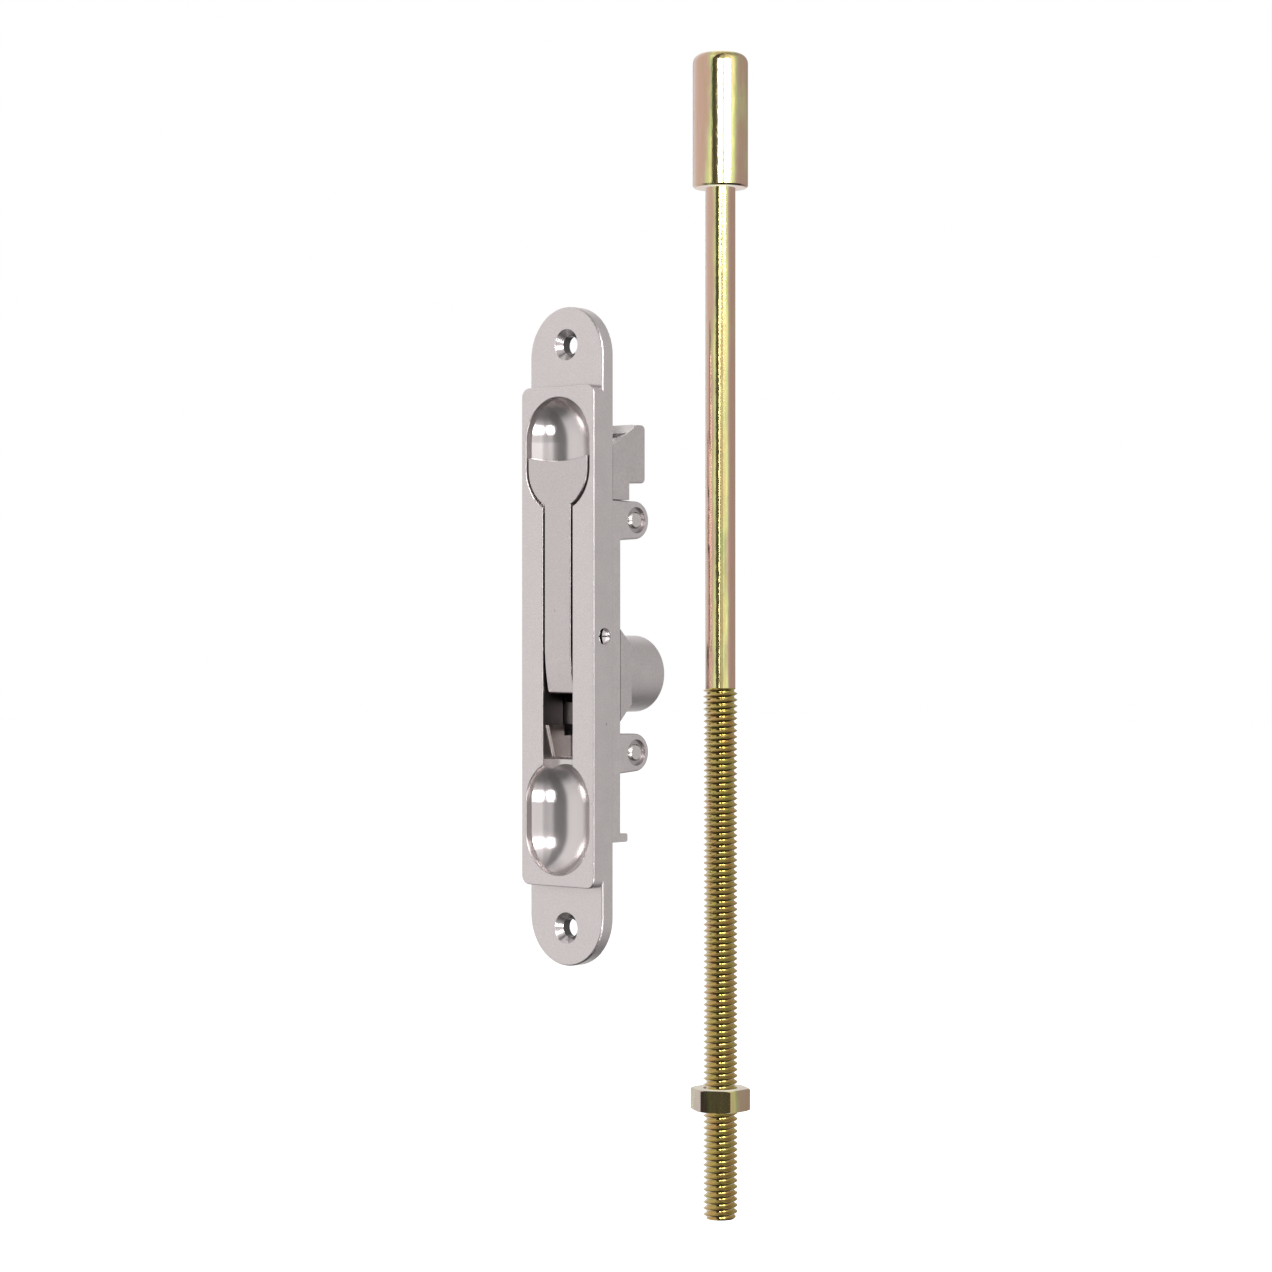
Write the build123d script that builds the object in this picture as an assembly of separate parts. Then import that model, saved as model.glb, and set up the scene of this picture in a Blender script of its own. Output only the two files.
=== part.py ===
from build123d import *
import os
from math import cos, radians, sqrt

# Lever flush bolt: a cast case let into a door edge, a flip lever, a slide behind the case,
# and a long threaded bolt rod with its jam nut.  Millimetres.
# +X is the right of the face, +Y goes into the door, +Z is up.
# The pieces are drawn from the front of the end tongues.  The finished parts are saved with the
# origin midway between the two fixing screws, on the back of the tongues, where the bolt seats.

# ---- face plate and its two end tongues ----
PLATE_LENGTH = 152.4
PLATE_WIDTH = 23.1
TONGUE_BACK = 3.5
SCREW_SPACING = 134.9
SCREW_HOLE_R = 2.2
SCREW_CSK_R = 3.65
FACE_FRONT = -3.0
FACE_LENGTH = 115.4
FACE_CORNER_R = 2.2
PLATE_FRONT_R = 0.5
PLATE_BACK_R = 0.3
FACE_EDGE_R = 0.35

# ---- hollow case behind the face ----
FACE_WALL = 1.8
CASE_BACK = 6.1
CASE_HALF_WIDTH = 11.35
POCKET_HALF_WIDTH = 9.3
POCKET_HALF_LENGTH = 28.4
END_WALL = 1.9
SHELF_FRONT = 0.0
CASE_BOTTOM = -47.4
FOOT_BACK = 8.6
FOOT_THICKNESS = 2.0
FOOT_EDGE_R = 0.5
SLOT_HALF_WIDTH = 4.74
SLOT_RIB = 1.5
SLOT_RIB_BACK = 3.8
FLANGE_TOP = 31.2
SHELF_REACH = 1.5

# ---- finger scoops ----
SCOOP_WIDTH = 20.1
SCOOP_LENGTH = 26.5
SCOOP_CENTRE = 41.95
SCOOP_RIM = 1.9
SCOOP_DEPTH = 7.4
SCOOP_SHELL = 1.3
SCOOP_BACK_SPREAD = 1.0
SCOOP_BACK_TAPER = 6.0
RIM_R = 0.25

# ---- ears that carry the guide pins ----
EAR_INNER = 8.75
EAR_Z = 26.9
EAR_Y = 11.65
EAR_NOSE_R = 4.4
EAR_ROOT_LOW = 5.0
EAR_ROOT_HIGH = 4.5
EAR_ROOT_INSET = 3.0
EAR_EDGE_R = 0.6
EAR_BORE_R = 3.05
EAR_BORE_DEPTH = 0.7
GUIDE_PIN_R = 1.95
GUIDE_PIN_CHAMFER = 0.35

# ---- lever ----
PIVOT_Y = 0.6
PIVOT_PIN_R = 1.75
PIVOT_RECESS_R = 1.95
PIVOT_RECESS_DEPTH = 0.8
PIVOT_DIMPLE_R = 1.5
PIVOT_DIMPLE = 0.4
PIVOT_SLOT = 0.8
PIVOT_NICK = 0.35
PIVOT_SLOT_DEPTH = 1.0
RUNNING_CLEARANCE = 0.05
LEVER_FRONT = -3.0
LEVER_THIN = 2.2
LEVER_HUB_R = 3.3
ARM_HALF_WIDTH = 4.1
TAIL_END = -13.2
TAIL_BEND = -2.0
TAIL_FALL = 1.3
LOBE_R = 4.5
ARM_BACK_TAIL = 1.0
ARM_BACK_LOW = 3.0
ARM_BACK_HUB = 2.5
ARM_BACK_HIGH = 2.2
TAIL_SLOPE = 2.0
ARM_TAPER_LOW = 2.0
ARM_TAPER_START = 12.0
ARM_TAPER_END = 26.5
TAIL_EDGE_R = 0.7
CRANK_R = 8.3
HEAD_GAP = 0.7
HEAD_TOP = 41.5
HEAD_TOP_HOLLOW = 1.05

# ---- spring clip beside the lever's arm ----
SPRING_STRIP = 0.45
SPRING_GAP = 0.06
SPRING_TOP = -20.6
SPRING_HIGH_Y = -1.4
SPRING_LOW_Y = 0.9

# ---- slide ----
SLIDE_FRONT = 6.25
SLIDE_BACK = 9.2
SLIDE_HALF_WIDTH = 8.5
SLIDE_BOTTOM = -44.9
SHOULDER_BOTTOM = 31.5
CHEEK_FRONT = 3.6
CHEEK_INNER = 9.6
BLOCK_BOTTOM = 35.5
BLOCK_TOP = 49.0
BLOCK_BACK = 14.7
NOTCH_LOW = (3.55, 43.9)
NOTCH_HIGH = (10.8, 48.2)
NOTCH_END = 0.3
BLOCK_EDGE_R = 1.1
BLOCK_SIDE_R = 0.35
NOTCH_HOLLOW = 2.5
LIP_FRONT = 4.75
LIP_REACH = 7.1
LIP_HALF_WIDTH = 8.9
LIP_BOTTOM = -20.4
LIP_FOOT = -22.1
MOUTH_SIDE_GAP = 0.5
PEDESTAL_TOP = 1.6
PEDESTAL_BOTTOM = -19.5
PEDESTAL_BACK = 10.0
PEDESTAL_TOP_SLOPE = 3.7
PEDESTAL_BOTTOM_SLOPE = 3.8
CUP_Z = -8.8
CUP_HALF_WIDTH = 9.4
CUP_HALF_HEIGHT = 9.0
CUP_WALL = 1.1
CUP_FLOOR = 1.6
CUP_BACK = 23.8
CUP_EDGE_R = 0.5
CUP_OPENING = 1.2
SOCKET_Y = 11.2
SOCKET_BOSS_R = 5.5

# ---- bolt rod, standing beside the case ----
ROD_X = 30.65
ROD_Y = 19.0
ROD_TOP = 133.4
ROD_LENGTH = 266.7
BOLT_HEAD_R = 6.35
BOLT_HEAD_LENGTH = 30.7
BOLT_HEAD_DOME = 2.3
BOLT_HEAD_CHAMFER = 0.4
BOLT_SPIGOT_R = 3.0
BOLT_SPIGOT_LENGTH = 20.0
SPIGOT_CLEARANCE = 0.01
SHANK_R = 3.45
THREAD_R = 3.92
TAP_DRILL_R = 3.3
THREAD_LENGTH = 121.5
THREAD_END_CHAMFER = 0.8
THREAD_RUNOUT = 0.45
NUT_ACROSS_FLATS = 12.0
NUT_THICKNESS = 5.0
NUT_BOTTOM = -108.4
NUT_TURN = 30.0
NUT_CHAMFER_RISE = 0.22
NUT_CHAMFER_REACH = 0.6
NUT_CORNER_SPARE = 0.05


# ---- helpers ----
def slab(outline, front, back):
    """A flat piece drawn in X-Z, running from the depth front to the depth back."""
    return extrude(Plane.XZ.offset(-back) * outline, back - front)


def bar(outline, half_width):
    """A piece drawn in Y-Z, running across the full width of the bolt."""
    return extrude(Plane.YZ * outline, half_width, both=True)


def block(x, y, z):
    """A box between pairs of low and high values."""
    size = Box(x[1] - x[0], y[1] - y[0], z[1] - z[0])
    return Pos((x[0] + x[1]) / 2, (y[0] + y[1]) / 2, (z[0] + z[1]) / 2) * size


def cross_pin(radius, half_width, y, z):
    """A round bar along X."""
    return Pos(0, y, z) * Rot(0, 90, 0) * Cylinder(radius, 2 * half_width)


def depth_cylinder(radius, front, back, x=0.0, z=0.0):
    """A round bar along Y."""
    return Pos(x, (front + back) / 2, z) * Rot(90, 0, 0) * Cylinder(radius, back - front)


def upright_stadium(length, width):
    """A rounded-end slot shape that stands on end."""
    return Rot(0, 0, 90) * SlotOverall(length, width)


def pick_edges(part, test):
    """The part's edges whose centre passes the test."""
    return ShapeList([e for e in part.edges() if test(e.center())])


def save(part, name):
    seated = Pos(0, -TONGUE_BACK, 0) * part
    seated.label = name
    export_step(seated, f"parts/{name}.step")


# ---- case ----
def scoop_cut(z):
    """The finger scoop: a short steep rim, then a bath-shaped bowl."""
    half = SCOOP_WIDTH / 2
    straight = SCOOP_LENGTH - SCOOP_WIDTH
    rim_back = FACE_FRONT + SCOOP_RIM
    rim = slab(upright_stadium(SCOOP_LENGTH, SCOOP_WIDTH), FACE_FRONT - 1, rim_back)
    sag = SCOOP_DEPTH - SCOOP_RIM
    bowl_r = (half * half + sag * sag) / (2 * sag)
    bowl_y = FACE_FRONT + SCOOP_DEPTH - bowl_r
    bowl = Pos(0, bowl_y, 0) * Cylinder(bowl_r, straight)
    for end in (-1, 1):
        bowl += Pos(0, bowl_y, end * straight / 2) * Sphere(bowl_r)
    bowl &= block((-20, 20), (rim_back, 20), (-30, 30))
    return Pos(0, 0, z) * (rim + bowl)


def scoop_back(z):
    """The bulge on the back of the case that gives the bowl its wall."""
    back = FACE_FRONT + SCOOP_DEPTH + SCOOP_SHELL
    base = Plane.XZ.offset(-(TONGUE_BACK - 1))
    spread = SCOOP_BACK_SPREAD
    wide = base * upright_stadium(SCOOP_LENGTH + spread, SCOOP_WIDTH + spread)
    crown = Plane.XZ.offset(-back)
    taper = SCOOP_BACK_TAPER
    narrow = crown * upright_stadium(SCOOP_LENGTH - taper, SCOOP_WIDTH - taper)
    return Pos(0, 0, z) * loft([wide.face(), narrow.face()])


def ear_pair(z):
    """Two ears that stand back from the case and hold a guide pin across it."""
    root_y = CASE_BACK - EAR_ROOT_INSET
    nose = Pos(EAR_Y, 0) * Circle(EAR_NOSE_R)
    root = Polygon((root_y, EAR_ROOT_HIGH), (root_y, -EAR_ROOT_LOW),
                   (EAR_Y, -EAR_NOSE_R), (EAR_Y, EAR_NOSE_R), align=None)
    ears = bar(root + nose, CASE_HALF_WIDTH) - block((-EAR_INNER, EAR_INNER), (-9, 30), (-9, 9))
    ears = Pos(0, 0, z) * ears
    rims = pick_edges(ears, lambda c: abs(c.X) > CASE_HALF_WIDTH - 0.01 and c.Y > CASE_BACK + 0.5)
    return fillet(rims, EAR_EDGE_R)


def make_case():
    plate = slab(upright_stadium(PLATE_LENGTH, PLATE_WIDTH), 0, TONGUE_BACK)
    plate = fillet(pick_edges(plate, lambda c: c.Y < 0.01), PLATE_FRONT_R)
    plate = fillet(pick_edges(plate, lambda c: c.Y > TONGUE_BACK - 0.01), PLATE_BACK_R)
    face = slab(RectangleRounded(PLATE_WIDTH, FACE_LENGTH, FACE_CORNER_R), FACE_FRONT, TONGUE_BACK - 0.5)
    face = fillet(pick_edges(face, lambda c: c.Y < FACE_FRONT + 0.01), FACE_EDGE_R)
    case = plate + face

    # side flanges behind the face, and the foot across their lower end
    case_width = (-CASE_HALF_WIDTH, CASE_HALF_WIDTH)
    case += block(case_width, (TONGUE_BACK - 1, CASE_BACK), (CASE_BOTTOM, FLANGE_TOP))
    foot = block(case_width, (TONGUE_BACK, FOOT_BACK),
                 (CASE_BOTTOM, CASE_BOTTOM + FOOT_THICKNESS))
    case += fillet(pick_edges(foot, lambda c: c.Y > FOOT_BACK - 0.01 and abs(c.X) < 1), FOOT_EDGE_R)

    # hollow the case out from behind, then put the bowl walls back
    hollow = (-POCKET_HALF_WIDTH, POCKET_HALF_WIDTH)
    inner_end = POCKET_HALF_LENGTH + END_WALL
    case -= block(hollow, (FACE_FRONT + FACE_WALL, 20), (-POCKET_HALF_LENGTH, POCKET_HALF_LENGTH))
    case -= block(hollow, (TONGUE_BACK, 20), (inner_end, 60))
    case -= block(hollow, (TONGUE_BACK, 20), (CASE_BOTTOM + FOOT_THICKNESS, -inner_end))
    for side in (-1, 1):
        pocket = block((-20, 20), (-20, 20), (-POCKET_HALF_LENGTH, POCKET_HALF_LENGTH))
        case += scoop_back(side * SCOOP_CENTRE) - pocket
        case += ear_pair(side * EAR_Z)
        beside = (SLOT_HALF_WIDTH, SLOT_HALF_WIDTH + SLOT_RIB)
        rib = block(beside, (FACE_FRONT + 1, SLOT_RIB_BACK), (-POCKET_HALF_LENGTH, POCKET_HALF_LENGTH))
        case += rib if side > 0 else mirror(rib, Plane.YZ)
        case -= scoop_cut(side * SCOOP_CENTRE)

    # the lever's slot, cut down to a stop shelf where it meets each scoop
    slot = (-SLOT_HALF_WIDTH, SLOT_HALF_WIDTH)
    case -= block(slot, (-20, FACE_FRONT + FACE_WALL + 0.1), (-POCKET_HALF_LENGTH, POCKET_HALF_LENGTH))
    mouth = POCKET_HALF_LENGTH + END_WALL + SHELF_REACH
    case -= block(slot, (-20, SHELF_FRONT), (-mouth, mouth))

    # fixing screw holes
    for side in (-1, 1):
        z = side * SCREW_SPACING / 2
        case -= depth_cylinder(SCREW_HOLE_R, -1, TONGUE_BACK + 1, z=z)
        csk_depth = SCREW_CSK_R - SCREW_HOLE_R
        cone = Cone(SCREW_CSK_R, SCREW_HOLE_R, csk_depth)
        case -= Pos(0, csk_depth / 2, z) * Rot(-90, 0, 0) * cone

    # soften the front rim of the slot and the scoops, then drill the pin holes
    front = pick_edges(case, lambda c: c.Y < FACE_FRONT + 0.01)
    scoop_end = SCOOP_CENTRE + SCOOP_LENGTH / 2 + 0.1
    rims = ShapeList([e for e in front if abs(e.center().X) < SCOOP_WIDTH / 2 + 0.1
                      and abs(e.center().Z) < scoop_end])
    case = fillet(rims, RIM_R)
    case -= cross_pin(PIVOT_PIN_R, 20, PIVOT_Y, 0)
    for side in (-1, 1):
        outer = side * PLATE_WIDTH / 2
        case -= Pos(outer, PIVOT_Y, 0) * Rot(0, 90, 0) * Cylinder(PIVOT_RECESS_R, 2 * PIVOT_RECESS_DEPTH)
        for z in (-EAR_Z, EAR_Z):
            case -= cross_pin(GUIDE_PIN_R, 20, EAR_Y, z)
            bore = Cylinder(EAR_BORE_R, 2 * EAR_BORE_DEPTH)
            case -= Pos(side * CASE_HALF_WIDTH, EAR_Y, z) * Rot(0, 90, 0) * bore
    return case


# ---- pins and spring ----
def make_pivot_pin():
    """A plain pin, each end dished, with an upright slot and a narrow cross nick."""
    half = PLATE_WIDTH / 2 - PIVOT_RECESS_DEPTH
    pin = cross_pin(PIVOT_PIN_R, half, PIVOT_Y, 0)
    ball_r = (PIVOT_DIMPLE_R ** 2 + PIVOT_DIMPLE ** 2) / (2 * PIVOT_DIMPLE)
    for side in (-1, 1):
        end = Pos(side * half, PIVOT_Y, 0)
        pin -= end * Pos(side * (ball_r - PIVOT_DIMPLE), 0, 0) * Rot(0, 90, 0) * Sphere(ball_r)
        pin -= end * Box(2 * PIVOT_SLOT_DEPTH, PIVOT_SLOT, 3 * PIVOT_PIN_R)
        pin -= end * Box(PIVOT_SLOT_DEPTH, 3 * PIVOT_PIN_R, PIVOT_NICK)
    return pin


def make_guide_pin(z):
    """A pin across two ears, its chamfered ends almost level with the ears."""
    pin = cross_pin(GUIDE_PIN_R, CASE_HALF_WIDTH - RUNNING_CLEARANCE, EAR_Y, z)
    return chamfer(pin.edges().filter_by(GeomType.CIRCLE), GUIDE_PIN_CHAMFER)


def make_lever_spring():
    """A U-shaped clip of spring strip: a foot on the lower end wall and a leg on each side of the arm."""
    foot_top = -POCKET_HALF_LENGTH + SPRING_STRIP
    outer = SLOT_HALF_WIDTH - SPRING_GAP
    clear = LIP_FOOT - 1
    leg = Polygon((SPRING_LOW_Y, -POCKET_HALF_LENGTH), (CASE_BACK, -POCKET_HALF_LENGTH), (CASE_BACK, clear),
                  (SLOT_RIB_BACK, clear), (SLOT_RIB_BACK, SPRING_TOP), (SPRING_HIGH_Y, SPRING_TOP),
                  align=None)
    inner = outer - SPRING_STRIP
    return bar(leg, outer) - block((-inner, inner), (-9, 20), (foot_top, 0))


# ---- lever ----
def make_lever():
    """Head, arm, hub and tail of the flip lever in its flush, bolt-withdrawn place."""
    head_r = SCOOP_WIDTH / 2 - HEAD_GAP
    head_z = SCOOP_CENTRE - (SCOOP_LENGTH - SCOOP_WIDTH) / 2
    hollow_r = (head_r * head_r + HEAD_TOP_HOLLOW * HEAD_TOP_HOLLOW) / (2 * HEAD_TOP_HOLLOW)
    rise = HEAD_TOP - head_z
    face = Pos(0, head_z) * Circle(head_r) + Pos(0, head_z + rise / 2) * Rectangle(2 * head_r, rise)
    face -= Pos(0, HEAD_TOP + 10) * Rectangle(40, 20)
    face -= Pos(0, HEAD_TOP - HEAD_TOP_HOLLOW + hollow_r) * Circle(hollow_r)
    face += Pos(0, (TAIL_END + head_z) / 2) * Rectangle(2 * ARM_HALF_WIDTH, head_z - TAIL_END)

    # side view, as depth and height: thin head and neck, deep arm, round hub, round tail lobe
    thin = LEVER_FRONT + LEVER_THIN
    tail_front = LEVER_FRONT + TAIL_FALL
    fall_middle = (LEVER_FRONT + TAIL_FALL / 4, (TAIL_BEND + TAIL_END) / 2)
    fall = ThreePointArc((LEVER_FRONT, TAIL_BEND), fall_middle, (tail_front, TAIL_END))
    rest = Polyline((tail_front, TAIL_END), (PIVOT_Y + ARM_BACK_TAIL, TAIL_END),
                    (PIVOT_Y + ARM_BACK_LOW, TAIL_END + TAIL_SLOPE),
                    (PIVOT_Y + ARM_BACK_HUB, ARM_TAPER_LOW),
                    (PIVOT_Y + ARM_BACK_HIGH, ARM_TAPER_START), (thin, ARM_TAPER_END), (thin, 50),
                    (LEVER_FRONT, 50), (LEVER_FRONT, TAIL_BEND))
    side = make_face(fall + rest)
    side += Pos(PIVOT_Y, 0) * Circle(LEVER_HUB_R)
    side += Pos(PIVOT_Y, -CRANK_R) * Circle(LOBE_R) & Pos(10 + tail_front, 0) * Rectangle(20, 60)
    lever = slab(face, LEVER_FRONT - 1, 12) & bar(side, 12)
    lever -= cross_pin(PIVOT_PIN_R + RUNNING_CLEARANCE, 20, PIVOT_Y, 0)
    foot = pick_edges(lever, lambda c: abs(c.Z - TAIL_END) < 0.01 and abs(c.Y - tail_front) < 0.01)
    lever = fillet(foot, TAIL_EDGE_R)
    rim = pick_edges(lever, lambda c: c.Y < LEVER_FRONT + 0.01 and c.Z > TAIL_BEND + 1)
    return fillet(rim, RIM_R)


# ---- slide ----
def head_block():
    """The thick upper end of the slide, with the sloping hollow that clears the fixing screw."""
    head = block((-CASE_HALF_WIDTH, CASE_HALF_WIDTH), (SLIDE_FRONT, BLOCK_BACK), (BLOCK_BOTTOM, BLOCK_TOP))
    head = fillet(pick_edges(head, lambda c: c.Y > BLOCK_BACK - 0.01 and abs(c.X) < 1), BLOCK_EDGE_R)
    sides = pick_edges(head, lambda c: abs(c.X) > CASE_HALF_WIDTH - 0.01 and c.Y > SLIDE_FRONT + 0.1)
    head = fillet(sides, BLOCK_SIDE_R)
    boss = Cylinder(SOCKET_BOSS_R, BLOCK_TOP - BLOCK_BOTTOM)
    head += Pos(0, SOCKET_Y, (BLOCK_BOTTOM + BLOCK_TOP) / 2) * boss
    head -= block((-20, 20), (0, SLIDE_FRONT), (0, 60))
    cheek = block((CHEEK_INNER, CASE_HALF_WIDTH), (CHEEK_FRONT, SLIDE_FRONT + 1),
                  (SHOULDER_BOTTOM, BLOCK_TOP))
    head += cheek
    head += mirror(cheek, Plane.YZ)

    run = NOTCH_HIGH[0] - NOTCH_LOW[0]
    climb = NOTCH_HIGH[1] - NOTCH_LOW[1]
    slope = sqrt(run * run + climb * climb)
    trough_r = (CASE_HALF_WIDTH ** 2 + NOTCH_HOLLOW ** 2) / (2 * NOTCH_HOLLOW)
    lift = trough_r - NOTCH_HOLLOW
    along = Vector(0, run / slope, climb / slope)
    normal = Vector(0, -climb / slope, run / slope)
    start = Vector(0, NOTCH_LOW[0], NOTCH_LOW[1]) + normal * lift
    lead_in = 5
    mouth = Plane(start - along * lead_in, x_dir=(1, 0, 0), z_dir=along)
    return head - extrude(mouth * Circle(trough_r), lead_in + slope + NOTCH_END)


def make_slide():
    """The moving casting behind the case: plate, shoulder, head block, driving lips and cup."""
    wide = (-CASE_HALF_WIDTH, CASE_HALF_WIDTH)
    depth = (SLIDE_FRONT, SLIDE_BACK)
    slide = block((-SLIDE_HALF_WIDTH, SLIDE_HALF_WIDTH), depth, (SLIDE_BOTTOM, BLOCK_BOTTOM + 1))
    slide += block(wide, depth, (SHOULDER_BOTTOM, BLOCK_BOTTOM + 1))
    slide += head_block()

    pedestal = Polygon((SLIDE_FRONT, PEDESTAL_TOP), (PEDESTAL_BACK, PEDESTAL_TOP - PEDESTAL_TOP_SLOPE),
                       (PEDESTAL_BACK, PEDESTAL_BOTTOM + PEDESTAL_BOTTOM_SLOPE),
                       (SLIDE_FRONT, PEDESTAL_BOTTOM), align=None)
    slide += bar(pedestal, CASE_HALF_WIDTH)
    cup = slab(Pos(0, CUP_Z) * Ellipse(CUP_HALF_WIDTH, CUP_HALF_HEIGHT), SLIDE_FRONT, CUP_BACK)
    cup = fillet(pick_edges(cup, lambda c: c.Y > CUP_BACK - 0.01), CUP_EDGE_R)
    slide += cup

    # driving lips above and below the lever's tail lobe, inside the case
    lips = Polygon((LIP_FRONT, PEDESTAL_TOP), (SLIDE_FRONT + 1, PEDESTAL_TOP), (SLIDE_FRONT + 1, LIP_FOOT),
                   (SLIDE_FRONT, LIP_FOOT), (LIP_FRONT, LIP_BOTTOM), align=None)
    slide += bar(lips, LIP_HALF_WIDTH)
    mouth_half = ARM_HALF_WIDTH + MOUTH_SIDE_GAP
    slide -= block((-mouth_half, mouth_half), (0, PEDESTAL_BACK),
                   (-CRANK_R - LIP_REACH, -CRANK_R + LIP_REACH))
    inside = Ellipse(CUP_HALF_WIDTH - CUP_WALL, CUP_HALF_HEIGHT - CUP_WALL)
    slide -= slab(Pos(0, CUP_Z) * inside, PEDESTAL_BACK - CUP_OPENING, CUP_BACK - CUP_FLOOR)

    # tapped socket for the bolt rod
    above = (Align.CENTER, Align.CENTER, Align.MIN)
    drill = Cylinder(TAP_DRILL_R, 2 * (BLOCK_TOP - BLOCK_BOTTOM), align=above)
    return slide - Pos(0, SOCKET_Y, BLOCK_BOTTOM) * drill


# ---- bolt rod ----
def upright(radius, bottom, top):
    """A round bar along the rod's axis."""
    above = (Align.CENTER, Align.CENTER, Align.MIN)
    return Pos(ROD_X, ROD_Y, bottom) * Cylinder(radius, top - bottom, align=above)


def make_bolt_rod():
    """Shank and threaded end, with a plain spigot that carries the bolt head."""
    bottom = ROD_TOP - ROD_LENGTH
    head_bottom = ROD_TOP - BOLT_HEAD_LENGTH
    thread = upright(THREAD_R, bottom, bottom + THREAD_LENGTH)
    thread = chamfer(thread.edges().filter_by(GeomType.CIRCLE).sort_by(Axis.Z)[0], THREAD_END_CHAMFER)
    thread = chamfer(thread.edges().filter_by(GeomType.CIRCLE).sort_by(Axis.Z)[-1], THREAD_RUNOUT)
    shank = upright(SHANK_R, bottom + THREAD_LENGTH - 1, head_bottom)
    spigot = upright(BOLT_SPIGOT_R, head_bottom - 1, head_bottom + BOLT_SPIGOT_LENGTH)
    return thread + shank + spigot


def make_bolt_head():
    """The round bolt head, domed at its top edge and bored for the rod's spigot."""
    head_bottom = ROD_TOP - BOLT_HEAD_LENGTH
    head = upright(BOLT_HEAD_R, head_bottom, ROD_TOP)
    rims = head.edges().filter_by(GeomType.CIRCLE).sort_by(Axis.Z)
    head = fillet(rims[-1], BOLT_HEAD_DOME)
    rims = head.edges().filter_by(GeomType.CIRCLE).sort_by(Axis.Z)
    head = chamfer(rims[0], BOLT_HEAD_CHAMFER)
    return head - upright(BOLT_SPIGOT_R + SPIGOT_CLEARANCE, head_bottom, head_bottom + BOLT_SPIGOT_LENGTH)


def make_jam_nut():
    """A hexagon nut with chamfered corners, free to turn on the thread."""
    corner_r = NUT_ACROSS_FLATS / 2 / cos(radians(30))
    hexagon = RegularPolygon(corner_r, 6, rotation=NUT_TURN)
    nut = Pos(ROD_X, ROD_Y, NUT_BOTTOM) * extrude(hexagon, NUT_THICKNESS)
    crown = upright(corner_r + NUT_CORNER_SPARE, NUT_BOTTOM, NUT_BOTTOM + NUT_THICKNESS)
    crown = chamfer(crown.edges().filter_by(GeomType.CIRCLE), NUT_CHAMFER_RISE, NUT_CHAMFER_REACH)
    nut &= crown
    return nut - upright(THREAD_R + RUNNING_CLEARANCE, NUT_BOTTOM - 1, NUT_BOTTOM + NUT_THICKNESS + 1)


os.makedirs("parts", exist_ok=True)
save(make_case(), "case")
save(make_pivot_pin(), "pivot_pin")
save(make_guide_pin(EAR_Z), "upper_guide_pin")
save(make_guide_pin(-EAR_Z), "lower_guide_pin")
save(make_lever_spring(), "lever_spring")
save(make_lever(), "lever")
save(make_slide(), "slide")
save(make_bolt_rod(), "bolt_rod")
save(make_bolt_head(), "bolt_head")
save(make_jam_nut(), "jam_nut")
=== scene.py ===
import math

import bmesh
import bpy
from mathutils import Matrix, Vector


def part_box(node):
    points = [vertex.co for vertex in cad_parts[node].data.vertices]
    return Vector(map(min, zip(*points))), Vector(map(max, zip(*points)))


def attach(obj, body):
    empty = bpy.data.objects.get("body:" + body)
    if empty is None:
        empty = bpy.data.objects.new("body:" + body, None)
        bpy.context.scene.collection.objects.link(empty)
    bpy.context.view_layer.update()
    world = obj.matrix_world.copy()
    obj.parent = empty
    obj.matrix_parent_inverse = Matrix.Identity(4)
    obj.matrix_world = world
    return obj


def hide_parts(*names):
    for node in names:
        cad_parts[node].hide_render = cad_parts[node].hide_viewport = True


MM = 0.001
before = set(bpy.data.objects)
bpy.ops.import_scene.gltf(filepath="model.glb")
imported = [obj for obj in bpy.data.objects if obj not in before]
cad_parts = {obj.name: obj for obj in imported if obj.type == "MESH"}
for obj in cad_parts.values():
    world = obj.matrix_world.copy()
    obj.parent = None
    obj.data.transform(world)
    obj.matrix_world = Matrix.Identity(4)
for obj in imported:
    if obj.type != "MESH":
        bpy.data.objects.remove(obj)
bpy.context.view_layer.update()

# ---- what the camera sees ----
CAMERA_AZIMUTH = math.radians(42.28)
CAMERA_DISTANCE = 719.1 * MM
CAMERA_HEIGHT = 0.09 * MM
CAMERA_LENS = 88.28
CAMERA_SENSOR = 36.0
CAMERA_NEAR = 0.01
AIM_RIGHT = 18.15 * MM

# ---- places on the case, read from the frame where it gives them ----
FACE_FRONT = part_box("case")[0][1]
TONGUE_FRONT = FACE_FRONT + 3.0 * MM
SCOOP_LOW = 28.5 * MM
SCOOP_HIGH = 55.3 * MM
SCOOP_SIDE = 10.15 * MM
SCREW_Z = 67.45 * MM
COUNTERSINK_R = 3.75 * MM
COUNTERSINK_START = 0.05 * MM
SCREW_HOLE_R = 2.25 * MM
EAR_BORE = (8.15 * MM, 26.9 * MM)
EAR_BORE_R = 3.1 * MM
EAR_SIDE = 11.3 * MM
POCKET_SIDE = 9.35 * MM
POCKET_END = 28.45 * MM
ARM_SIDE = 4.1 * MM
ARM_SIDE_SPARE = 0.1 * MM
NECK_Z = 27 * MM
MOUTH_FRONT = 2.8 * MM
LIP_LOW = -23 * MM
LIP_HIGH = 2 * MM
NOTCH_Z = 43.0 * MM
NOTCH_BACK = 8.2 * MM
PIN_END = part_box("pivot_pin")[1][0]
PIN_DIMPLE = 0.43 * MM
RIM_DEPTH = 0.25 * MM
INSIDE_DEPTH = 0.45 * MM

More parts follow.
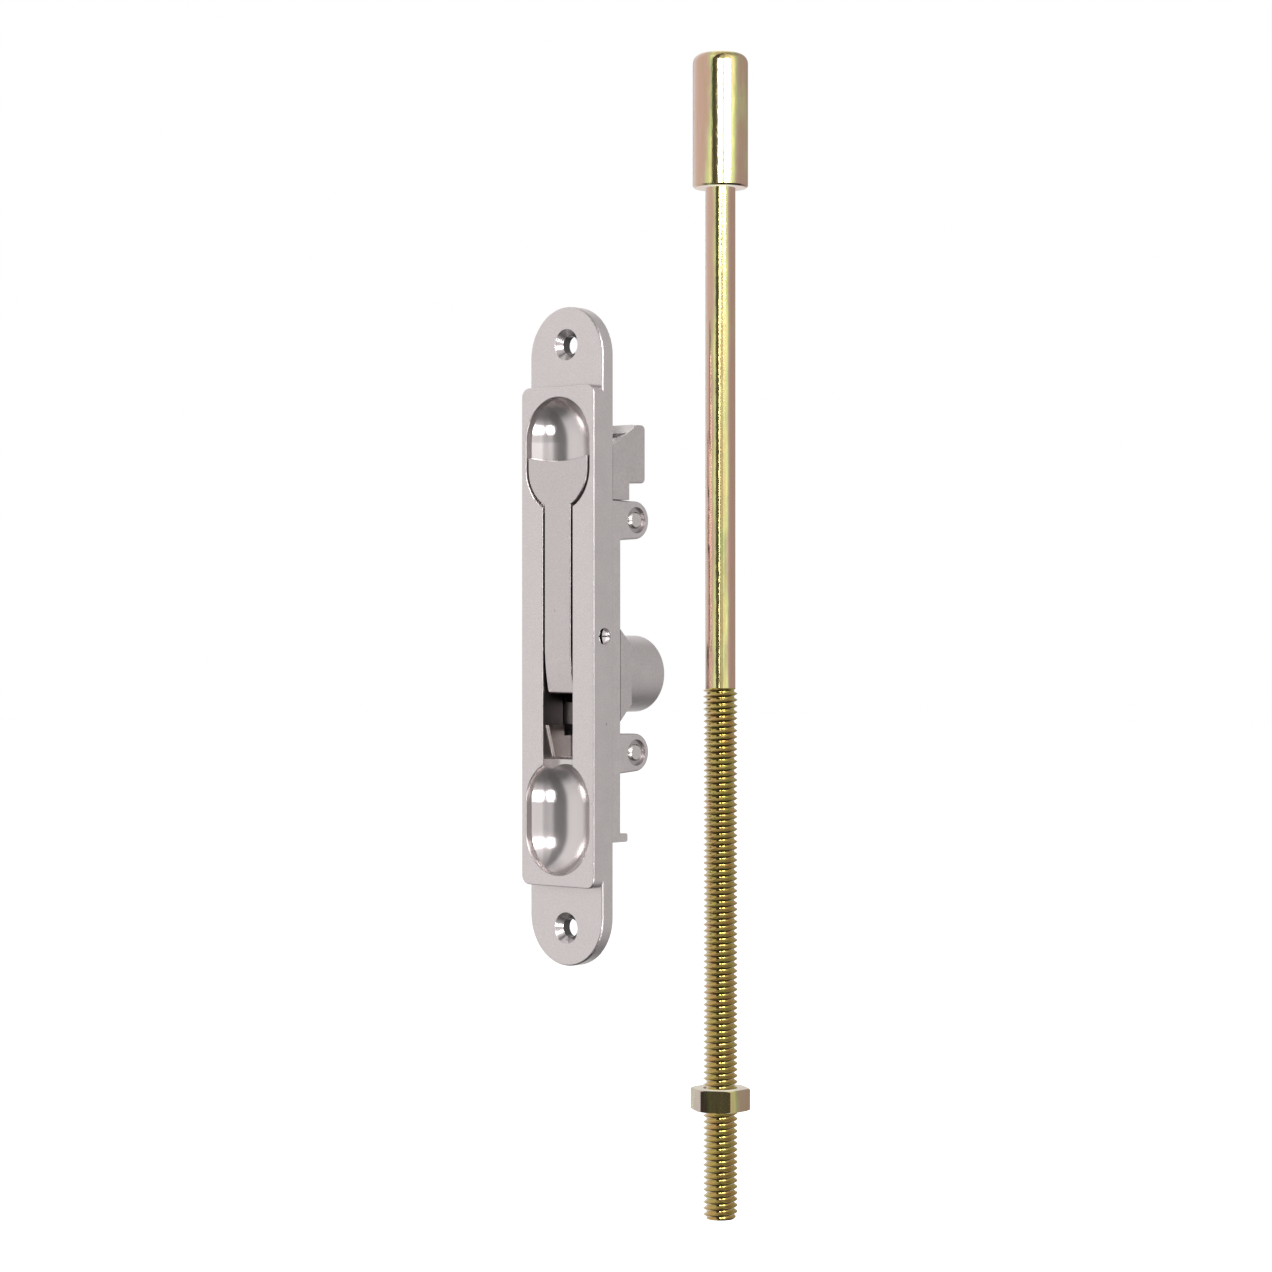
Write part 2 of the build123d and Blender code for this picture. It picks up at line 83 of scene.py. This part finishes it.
# ---- the bolt rod ----
ROD_LOW, ROD_HIGH = (Vector(corner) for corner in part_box("bolt_rod"))
ROD_AXIS = (ROD_LOW + ROD_HIGH) / 2
THREAD_PITCH = 25.4 / 18 * MM
THREAD_LENGTH = 121.5 * MM
CREST_R = ROD_AXIS.x - ROD_LOW.x
THREAD_DEPTH = 0.54 * THREAD_PITCH
ROOT_R = CREST_R - THREAD_DEPTH
SHANK_R = 3.45 * MM
SPIGOT_R = 2.95 * MM
SEGMENTS = 64
# one pitch of the thread as (share of the pitch, share of the thread's depth)
THREAD_FORM = ((0.02, 0.96), (0.0625, 1.0), (0.105, 0.96), (0.27, 0.5),
               (0.4375, 0.04), (0.5625, 0.0), (0.6875, 0.04), (0.855, 0.5))
END_R = 3.2 * MM
RUNOUT = 0.5 * MM
WELD = 0.002 * MM
ROD_SMOOTH_ANGLE = math.radians(40)

# ---- studio: brightness by angle round the bolt and by height, in degrees ----
STUDIO_STRENGTH = 1.25
STUDIO_AROUND = ((-180, 0.45), (-150, 0.72), (-135, 0.85), (-100, 0.84), (-14, 0.84), (-8, 0.06),
                 (20, 0.05), (26, 0.6), (34, 0.42), (45, 0.42), (48, 1.0), (53, 0.72), (68, 0.76),
                 (72, 1.0), (84, 1.0), (90, 0.68), (112, 0.54), (145, 0.54), (180, 0.45))
STUDIO_HEIGHT = ((-90, 0.05), (-52, 0.1), (-36, 0.85), (-10, 1.0), (50, 1.0), (70, 0.6), (90, 0.45))
SOFTBOX_AZIMUTH_WIDTH = ((27, 0.22), (56, 0.34))
SOFTBOX_ELEVATIONS = (-22, 22)
SOFTBOX_HEIGHT = 0.24
SOFTBOX_DISTANCE = 0.9
SOFTBOX_POWER = 11
FLOOR_Z = -150 * MM
FLOOR_SIZE = 8
FLOOR_GLOW = 0.45
WHITE = (1.0, 1.0, 1.0)

# ---- finishes ----
SATIN_TINT = (0.69, 0.635, 0.63)
LEVER_TINT = (0.61, 0.555, 0.55)
SLIDE_TINT = (0.64, 0.585, 0.58)
SCOOP_TINT = (0.60, 0.555, 0.55)
# painted highlight: the near-white laid in the slide's notch
NOTCH_PAINTED_HIGHLIGHT = (0.95, 0.93, 0.92)
SHADE = (0.10, 0.09, 0.088)
DEEP_SHADE = (0.035, 0.03, 0.03)
SCOOP_ROUGH = 0.19
NOTCH_ROUGH = 0.2
POLISHED_GRAIN = 0.015
GRAIN = 0.28
GRAIN_DEPTH = 0.05 * MM
STREAK_DEPTH = 0.03 * MM
PIVOT_TINT = (0.88, 0.85, 0.84)
GUIDE_PIN_TINT = (0.68, 0.63, 0.62)
SPRING_TINT = (0.72, 0.68, 0.66)
# painted sheen: the angle round the rod that faces the camera
SHEEN_FRINGE_START = math.radians(-47.7)
THREAD_GOLD = (0.36, 0.28, 0.05)
THREAD_ORANGE = (0.40, 0.22, 0.05)
ROD_LIGHT_TURN = math.radians(-8)
ZINC_DARK = (0.42, 0.34, 0.14)
ZINC_FILM = ((0.0, (0.54, 0.34, 0.28)), (0.22, (0.54, 0.39, 0.28)), (0.42, (0.56, 0.50, 0.29)),
             (0.62, (0.60, 0.66, 0.26)), (0.8, (0.84, 0.78, 0.34)), (1.0, (0.86, 0.70, 0.32)))


# ---- shared helpers ----
def new_object(name, data):
    """An object for some mesh, light or camera data, in the scene."""
    made = bpy.data.objects.new(name, data)
    bpy.context.scene.collection.objects.link(made)
    return made


def add_node(tree, kind, **settings):
    """A new shader node with its settings."""
    made = tree.nodes.new(kind)
    for key, value in settings.items():
        setattr(made, key, value)
    return made


def fill_ramp(ramp, stops):
    """Give a colour ramp its stops, each a position from 0 to 1 and a colour."""
    elements = ramp.color_ramp.elements
    while len(elements) < len(stops):
        elements.new(0.5)
    for element, (position, colour) in zip(elements, stops):
        element.position = position
        element.color = (*colour, 1.0)


class Material:
    """A node material with short calls for the nodes used here."""

    def __init__(self, name):
        self.material = bpy.data.materials.new(name)
        self.material.use_nodes = True
        self.tree = self.material.node_tree
        self.shader = self.tree.nodes["Principled BSDF"]

    def node(self, kind, **settings):
        return add_node(self.tree, kind, **settings)

    def link(self, source, target):
        self.tree.links.new(source, target)

    def place(self):
        return self.node("ShaderNodeTexCoord").outputs["Object"]

    def noise(self, scale, detail, roughness, stretch=(1, 1, 1)):
        mapping = self.node("ShaderNodeMapping")
        mapping.inputs["Scale"].default_value = stretch
        self.link(self.place(), mapping.inputs["Vector"])
        noise = self.node("ShaderNodeTexNoise")
        noise.inputs["Scale"].default_value = scale
        noise.inputs["Detail"].default_value = detail
        noise.inputs["Roughness"].default_value = roughness
        self.link(mapping.outputs["Vector"], noise.inputs["Vector"])
        return noise.outputs["Fac"]

    def remap(self, value, low, high, to_low=0.0, to_high=1.0):
        remap = self.node("ShaderNodeMapRange")
        remap.inputs["From Min"].default_value = low
        remap.inputs["From Max"].default_value = high
        remap.inputs["To Min"].default_value = to_low
        remap.inputs["To Max"].default_value = to_high
        self.link(value, remap.inputs["Value"])
        return remap.outputs["Result"]

    def math(self, operation, *values):
        made = self.node("ShaderNodeMath", operation=operation)
        for socket, value in zip(made.inputs, values):
            if isinstance(value, (int, float)):
                socket.default_value = value
            else:
                self.link(value, socket)
        return made.outputs[0]

    def mix(self, factor, first, second):
        """One colour laid over another by a mask; sockets 6 and 7 are the two colours."""
        made = self.node("ShaderNodeMix", data_type="RGBA")
        self.link(factor, made.inputs["Factor"])
        for socket, value in ((made.inputs[6], first), (made.inputs[7], second)):
            if isinstance(value, tuple):
                socket.default_value = (*value, 1.0)
            else:
                self.link(value, socket)
        return made.outputs[2]

    def ramp(self, value, stops):
        ramp = self.node("ShaderNodeValToRGB")
        fill_ramp(ramp, stops)
        self.link(value, ramp.inputs["Fac"])
        return ramp.outputs["Color"]

    def axes(self):
        split = self.node("ShaderNodeSeparateXYZ")
        self.link(self.place(), split.inputs["Vector"])
        return split.outputs

    def between(self, value, low, high):
        """1 where the value lies from low to high."""
        return self.all_of(self.math("GREATER_THAN", value, low), self.math("LESS_THAN", value, high))

    def all_of(self, first, *masks):
        """1 where every mask is 1."""
        for mask in masks:
            first = self.math("MULTIPLY", first, mask)
        return first

    def near_axis(self, first, second, centre, radius):
        """1 inside a circle of the given radius in the plane of two coordinates."""
        a = self.math("POWER", self.math("SUBTRACT", first, centre[0]), 2.0)
        b = self.math("POWER", self.math("SUBTRACT", second, centre[1]), 2.0)
        return self.math("LESS_THAN", self.math("SQRT", self.math("ADD", a, b)), radius)

    def bump(self, height, strength, distance):
        bump = self.node("ShaderNodeBump")
        bump.inputs["Strength"].default_value = strength
        bump.inputs["Distance"].default_value = distance
        self.link(height, bump.inputs["Height"])
        self.link(bump.outputs["Normal"], self.shader.inputs["Normal"])

    def set(self, socket, value):
        """Give the shader's socket a number, a colour or a link."""
        if isinstance(value, (int, float)):
            self.shader.inputs[socket].default_value = value
        elif isinstance(value, tuple):
            self.shader.inputs[socket].default_value = (*value, 1.0)
        else:
            self.link(value, self.shader.inputs[socket])


def wear(piece, material):
    """Replace the piece's materials by this one."""
    piece.data.materials.clear()
    piece.data.materials.append(material)


# ---- camera ----
def make_camera():
    """A level camera to the right of the face, looking past the bolt's right side."""
    forward = Vector((-math.sin(CAMERA_AZIMUTH), math.cos(CAMERA_AZIMUTH), 0))
    right = Vector((math.cos(CAMERA_AZIMUTH), math.sin(CAMERA_AZIMUTH), 0))
    data = bpy.data.cameras.new("camera")
    data.lens = CAMERA_LENS
    data.sensor_width = CAMERA_SENSOR
    data.clip_start = CAMERA_NEAR
    camera = new_object("camera", data)
    centre = Vector((0, FACE_FRONT, CAMERA_HEIGHT))
    camera.location = centre - forward * CAMERA_DISTANCE + right * AIM_RIGHT
    camera.rotation_euler = forward.to_track_quat("-Z", "Y").to_euler()
    bpy.context.scene.camera = camera


# ---- light and backdrop ----
def softbox(azimuth, elevation, width):
    """A soft panel aimed at the case; azimuth 0 is in front of the face, positive to its right."""
    a = math.radians(azimuth)
    e = math.radians(elevation)
    away = Vector((math.sin(a) * math.cos(e), -math.cos(a) * math.cos(e), math.sin(e)))
    name = f"softbox_{azimuth}_{elevation}"
    data = bpy.data.lights.new(name, "AREA")
    data.shape = "RECTANGLE"
    data.size = width
    data.size_y = SOFTBOX_HEIGHT
    data.energy = SOFTBOX_POWER * width
    light = new_object(name, data)
    light.location = away * SOFTBOX_DISTANCE
    light.rotation_euler = (-away).to_track_quat("-Z", "Y").to_euler()


def make_world():
    """A studio of upright panels: bright at the left, a dark gap in front, bright strips at the right."""
    world = bpy.data.worlds.new("studio")
    bpy.context.scene.world = world
    world.use_nodes = True
    tree = world.node_tree
    background = tree.nodes["Background"]

    def node(kind, **settings):
        return add_node(tree, kind, **settings)

    def ramp(value, limit, stops):
        spread = node("ShaderNodeMapRange")
        spread.inputs["From Min"].default_value = -math.radians(limit)
        spread.inputs["From Max"].default_value = math.radians(limit)
        tree.links.new(value, spread.inputs["Value"])
        made = node("ShaderNodeValToRGB")
        fill_ramp(made, [((angle + limit) / (2 * limit), (level, level, level)) for angle, level in stops])
        tree.links.new(spread.outputs["Result"], made.inputs["Fac"])
        return made.outputs["Color"]

    split = node("ShaderNodeSeparateXYZ")
    tree.links.new(node("ShaderNodeTexCoord").outputs["Generated"], split.inputs["Vector"])
    front = node("ShaderNodeMath", operation="MULTIPLY")
    tree.links.new(split.outputs["Y"], front.inputs[0])
    front.inputs[1].default_value = -1.0
    around = node("ShaderNodeMath", operation="ARCTAN2")
    tree.links.new(split.outputs["X"], around.inputs[0])
    tree.links.new(front.outputs[0], around.inputs[1])
    rise = node("ShaderNodeMath", operation="ARCSINE")
    tree.links.new(split.outputs["Z"], rise.inputs[0])
    sides = ramp(around.outputs[0], 180, STUDIO_AROUND)
    height = ramp(rise.outputs[0], 90, STUDIO_HEIGHT)
    product = node("ShaderNodeVectorMath", operation="MULTIPLY")
    tree.links.new(sides, product.inputs[0])
    tree.links.new(height, product.inputs[1])
    brighten = node("ShaderNodeVectorMath", operation="SCALE")
    brighten.inputs["Scale"].default_value = STUDIO_STRENGTH
    tree.links.new(product.outputs[0], brighten.inputs[0])
    # a plain white backdrop where the camera looks past the bolt
    choose = node("ShaderNodeMix", data_type="RGBA")
    tree.links.new(node("ShaderNodeLightPath").outputs["Is Camera Ray"], choose.inputs["Factor"])
    tree.links.new(brighten.outputs[0], choose.inputs[6])
    choose.inputs[7].default_value = (*WHITE, 1.0)
    tree.links.new(choose.outputs[2], background.inputs["Color"])


def make_light():
    """The studio panels, and four softboxes that make the scoops' highlights."""
    bpy.context.scene.view_settings.view_transform = "Standard"
    make_world()
    for azimuth, width in SOFTBOX_AZIMUTH_WIDTH:
        for elevation in SOFTBOX_ELEVATIONS:
            softbox(azimuth, elevation, width)


def make_floor():
    """A pale floor that glows a little, left out of reflections."""
    bpy.ops.mesh.primitive_plane_add(size=FLOOR_SIZE, location=(0, 0, FLOOR_Z))
    floor = bpy.context.object
    floor.name = "floor"
    floor.visible_glossy = False
    floor.visible_diffuse = False
    paint = Material("pale_floor")
    paint.set("Base Color", (0.9, 0.9, 0.9))
    paint.set("Roughness", 0.9)
    paint.set("Emission Color", WHITE)
    paint.set("Emission Strength", FLOOR_GLOW)
    floor.data.materials.append(paint.material)


# ---- bolt rod mesh ----
def rod_point(builder, step, radius, z):
    """A vertex at one of the steps round the rod's axis."""
    turn = 2 * math.pi * step / SEGMENTS
    return builder.verts.new((ROD_AXIS.x + radius * math.cos(turn),
                              ROD_AXIS.y + radius * math.sin(turn), z))


def ring(builder, radius, z):
    """One ring of vertices about the rod's axis."""
    return [rod_point(builder, step, radius, z) for step in range(SEGMENTS)]


def make_threaded_rod():
    """The rod as one closed mesh: chamfered end, helical thread, shank and spigot."""
    low = ROD_LOW.z
    top = low + THREAD_LENGTH
    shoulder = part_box("bolt_head")[0][2]
    builder = bmesh.new()
    turns = math.ceil(THREAD_LENGTH / THREAD_PITCH) + 3
    rows = []
    for turn in range(-2, turns):
        for share, depth in THREAD_FORM:
            row = []
            for step in range(SEGMENTS):
                z = low + (turn + share + step / SEGMENTS) * THREAD_PITCH
                radius = ROOT_R + depth * (CREST_R - ROOT_R)
                radius = min(radius, END_R + (z - low))
                if z <= low:
                    z, radius = low, END_R
                elif z >= top:
                    z, radius = top, SHANK_R
                elif z > top - RUNOUT:
                    blend = (top - z) / RUNOUT
                    radius = SHANK_R + blend * (radius - SHANK_R)
                row.append(rod_point(builder, step, radius, z))
            rows.append(row)
    per_turn = len(THREAD_FORM)
    # a row rises one pitch in a turn, so its last step joins the row one turn up
    for index in range(len(rows) - per_turn - 1):
        for step in range(SEGMENTS):
            last = step == SEGMENTS - 1
            right = rows[index + per_turn][0] if last else rows[index][step + 1]
            right_up = rows[index + per_turn + 1][0] if last else rows[index + 1][step + 1]
            builder.faces.new((rows[index][step], right, right_up, rows[index + 1][step]))
    loops = [ring(builder, SHANK_R, top), ring(builder, SHANK_R, shoulder),
             ring(builder, SPIGOT_R, shoulder), ring(builder, SPIGOT_R, ROD_HIGH.z)]
    for lower, upper in zip(loops, loops[1:]):
        for step in range(SEGMENTS):
            after = (step + 1) % SEGMENTS
            builder.faces.new((lower[step], lower[after], upper[after], upper[step]))
    builder.faces.new(loops[-1])
    end = ring(builder, END_R, low)
    builder.faces.new(list(reversed(end)))
    bmesh.ops.remove_doubles(builder, verts=builder.verts, dist=WELD)
    loose = [v for v in builder.verts if not v.link_faces]
    bmesh.ops.delete(builder, geom=loose, context="VERTS")
    bmesh.ops.recalc_face_normals(builder, faces=builder.faces)
    mesh = bpy.data.meshes.new("threaded_rod")
    builder.to_mesh(mesh)
    builder.free()
    for polygon in mesh.polygons:
        polygon.use_smooth = True
    mesh.set_sharp_from_angle(angle=ROD_SMOOTH_ANGLE)
    return new_object("threaded_rod", mesh)


# ---- materials ----
def scaled(colour, share):
    """A colour made darker by a share."""
    return tuple(channel * share for channel in colour)


def satin_plate(name, tint, rough=0.36):
    """Satin nickel plate over a die casting: fine grain, soft mottling and small dark pits."""
    m = Material(name)
    mottle = m.noise(240, 4, 0.6)
    grain = m.noise(2600, 2, 0.7)
    pits = m.remap(m.noise(620, 2, 0.5), 0.735, 0.775)
    colour = m.mix(m.remap(mottle, 0.35, 0.65), scaled(tint, 0.94), tint)
    colour = m.mix(m.remap(grain, 0.3, 0.7, 0.0, 0.45), colour, scaled(tint, 0.6))
    colour = m.mix(m.math("MULTIPLY", pits, 0.55), colour, scaled(tint, 0.35))
    m.set("Base Color", colour)
    m.set("Metallic", 1.0)
    m.set("Roughness", m.remap(mottle, 0.3, 0.7, rough - 0.04, rough + 0.05))
    m.bump(grain, GRAIN, GRAIN_DEPTH)
    return m


def paint_over(m, mask, colour, share):
    """Lay another colour over the finish where the mask is 1."""
    under = m.shader.inputs["Base Color"].links[0].from_socket
    m.set("Base Color", m.mix(m.math("MULTIPLY", mask, share), under, colour))


def polish_over(m, mask, rough):
    """Smooth the finish where the mask is 1."""
    under = m.shader.inputs["Roughness"].links[0].from_socket
    blend = m.node("ShaderNodeMix", data_type="FLOAT")
    m.link(mask, blend.inputs["Factor"])
    m.link(under, blend.inputs[2])
    blend.inputs[3].default_value = rough
    m.set("Roughness", blend.outputs[0])
    bump = m.shader.inputs["Normal"].links[0].from_node
    m.link(m.remap(mask, 0.0, 1.0, GRAIN, POLISHED_GRAIN), bump.inputs["Strength"])


def case_plate():
    """The case's satin plate, with polished scoops and screw countersinks, and painted shade inside its
    pocket, screw holes and ear bores.
    """
    m = satin_plate("satin_case", SATIN_TINT)
    x, y, z = m.axes()
    across = m.math("ABSOLUTE", x)
    along = m.math("ABSOLUTE", z)
    scoop = m.all_of(m.between(along, SCOOP_LOW, SCOOP_HIGH), m.math("LESS_THAN", across, SCOOP_SIDE),
                     m.math("GREATER_THAN", y, FACE_FRONT + RIM_DEPTH))
    sink = m.all_of(m.near_axis(x, along, (0.0, SCREW_Z), COUNTERSINK_R),
                    m.math("GREATER_THAN", y, TONGUE_FRONT + COUNTERSINK_START))
    polish = m.math("MAXIMUM", scoop, sink)
    polish_over(m, polish, SCOOP_ROUGH)
    paint_over(m, polish, SCOOP_TINT, 1.0)
    m.set("Metallic", m.remap(polish, 0.0, 1.0, 1.0, 0.8))
    # painted shade inside the pocket behind the face
    inside = m.all_of(m.math("LESS_THAN", along, POCKET_END), m.math("LESS_THAN", across, POCKET_SIDE),
                      m.math("GREATER_THAN", y, FACE_FRONT + INSIDE_DEPTH))
    paint_over(m, inside, SHADE, 0.8)
    # painted shade down the screw holes
    hole = m.near_axis(x, along, (0.0, SCREW_Z), SCREW_HOLE_R)
    paint_over(m, hole, DEEP_SHADE, 0.9)
    # painted shade inside the ears' bores
    bore = m.all_of(m.near_axis(y, along, EAR_BORE, EAR_BORE_R), m.math("LESS_THAN", across, EAR_SIDE))
    paint_over(m, bore, SHADE, 0.35)
    return m.material


def lever_plate():
    """Satin plate on the lever, with painted shade on the sides of its arm."""
    m = satin_plate("satin_lever", LEVER_TINT, 0.34)
    x, y, z = m.axes()
    # painted shade on the arm's sides, down in the slot's gap
    side = m.all_of(m.between(m.math("ABSOLUTE", x), ARM_SIDE - ARM_SIDE_SPARE, ARM_SIDE + ARM_SIDE_SPARE),
                    m.math("GREATER_THAN", y, FACE_FRONT + INSIDE_DEPTH), m.math("LESS_THAN", z, NECK_Z))
    paint_over(m, side, DEEP_SHADE, 0.85)
    return m.material


def slide_plate():
    """Satin plate on the slide, with painted shade about its mouth and a painted highlight in the notch.
    """
    m = satin_plate("satin_slide", SLIDE_TINT, 0.38)
    x, y, z = m.axes()
    across = m.math("ABSOLUTE", x)
    # painted shade about the slide's mouth, where the lever's tail leaves it in shadow
    mouth = m.all_of(m.between(z, LIP_LOW, LIP_HIGH), m.math("LESS_THAN", y, MOUTH_FRONT),
                     m.math("LESS_THAN", across, POCKET_SIDE))
    paint_over(m, mouth, SHADE, 0.3)
    # painted highlight: the notch is laid near-white and mostly non-metallic, in place of the bright
    # reflection in its trough
    notch = m.all_of(m.math("GREATER_THAN", z, NOTCH_Z), m.math("LESS_THAN", y, NOTCH_BACK),
                     m.math("LESS_THAN", across, EAR_SIDE))
    paint_over(m, notch, NOTCH_PAINTED_HIGHLIGHT, 1.0)
    polish_over(m, notch, NOTCH_ROUGH)
    m.set("Metallic", m.remap(notch, 0.0, 1.0, 1.0, 0.2))
    return m.material


def pivot_metal():
    """Bright pin with painted shade inside its slot and nick."""
    m = bright_metal("bright_pivot", PIVOT_TINT, 0.07)
    # painted shade in the pin's recessed end
    deep = m.math("LESS_THAN", m.math("ABSOLUTE", m.axes()["X"]), PIN_END - PIN_DIMPLE)
    paint_over(m, deep, DEEP_SHADE, 0.9)
    return m.material


def bright_metal(name, tint, rough):
    """Turned or rolled bright steel with faint streaks."""
    m = Material(name)
    streak = m.noise(900, 3, 0.6)
    m.set("Base Color", m.mix(m.remap(streak, 0.3, 0.7), scaled(tint, 0.9), tint))
    m.set("Metallic", 1.0)
    m.set("Roughness", m.remap(streak, 0.3, 0.7, rough, rough + 0.06))
    m.bump(streak, 0.06, STREAK_DEPTH)
    return m


def yellow_zinc(name, rough, shade_share=1.0, lift=0.0, thread_top=None):
    """Yellow chromate on zinc: its film drifts along the piece, and its colour with it; round the axis its
    colour is a painted sheen, yellow facing the camera's side and the back, pink between.
    """
    m = Material(name)
    x, y, z = m.axes()
    # painted sheen: the film's colour is laid round the axis from the camera's side, yellow where the
    # surface faces it and pink towards the sides
    turn = m.math("ARCTAN2", m.math("SUBTRACT", y, ROD_AXIS.y), m.math("SUBTRACT", x, ROD_AXIS.x))
    sheen_fringe = m.math("COSINE", m.math("MULTIPLY", m.math("SUBTRACT", turn, SHEEN_FRINGE_START), 2.0))
    sheen_fringe = m.remap(sheen_fringe, 0.25, 0.95)
    drift = m.noise(90, 4, 0.6, stretch=(1, 1, 0.35))
    drift = m.remap(drift, 0.3, 0.7, lift - 0.5, lift + 0.5)
    film = m.math("ADD", sheen_fringe, drift)
    # the film's colours and dark streaks are scaled by the share given, darker as painted shade
    colour = m.ramp(film, [(place, scaled(tone, shade_share)) for place, tone in ZINC_FILM])
    if thread_top:
        threaded = m.math("LESS_THAN", z, thread_top)
        tone = m.mix(m.remap(m.noise(400, 2, 0.5), 0.4, 0.65), THREAD_GOLD, THREAD_ORANGE)
        colour = m.mix(m.math("MULTIPLY", threaded, 0.95), colour, tone)
    streaks = m.noise(1500, 3, 0.6, stretch=(1, 1, 0.12))
    colour = m.mix(m.remap(streaks, 0.35, 0.7, 0.0, 0.4), colour, scaled(ZINC_DARK, shade_share))
    m.set("Base Color", colour)
    m.set("Metallic", 1.0)
    m.set("Roughness", m.remap(streaks, 0.3, 0.7, rough, rough + 0.07))
    m.bump(m.noise(1700, 2, 0.7, stretch=(1, 1, 0.5)), 0.4, GRAIN_DEPTH)
    # turn the shading a little, so the light bands fall where they do on the real rod
    turned = m.node("ShaderNodeVectorRotate", rotation_type="Z_AXIS")
    turned.inputs["Angle"].default_value = ROD_LIGHT_TURN
    m.link(m.node("ShaderNodeNewGeometry").outputs["Normal"], turned.inputs["Vector"])
    bump = m.shader.inputs["Normal"].links[0].from_node
    m.link(turned.outputs["Vector"], bump.inputs["Normal"])
    return m.material


def dress_cad():
    """Finishes for the CAD pieces that show."""
    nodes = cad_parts
    wear(nodes["case"], case_plate())
    wear(nodes["lever"], lever_plate())
    wear(nodes["slide"], slide_plate())
    wear(nodes["pivot_pin"], pivot_metal())
    for name in ("upper_guide_pin", "lower_guide_pin"):
        wear(nodes[name], bright_metal("bright_" + name, GUIDE_PIN_TINT, 0.24).material)
    wear(nodes["lever_spring"], bright_metal("spring_steel", SPRING_TINT, 0.2).material)
    wear(nodes["bolt_head"], yellow_zinc("zinc_head", 0.1))
    # the nut wears a darker copy of the zinc, scaled to 0.85 as painted shade, its film lifted toward
    # olive
    wear(nodes["jam_nut"], yellow_zinc("zinc_nut", 0.16, 0.85, 0.2))


def dress_rod():
    """The threaded rod in place of its plain CAD node, and the three zinc pieces out of reflections."""
    rod = make_threaded_rod()
    wear(rod, yellow_zinc("zinc_rod", 0.1, thread_top=ROD_LOW.z + THREAD_LENGTH))
    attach(rod, "rod")
    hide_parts("bolt_rod")
    # keeps the yellow out of the case's side
    for piece in (rod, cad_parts["bolt_head"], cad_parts["jam_nut"]):
        piece.visible_glossy = False


make_camera()
make_light()
make_floor()
dress_cad()
dress_rod()
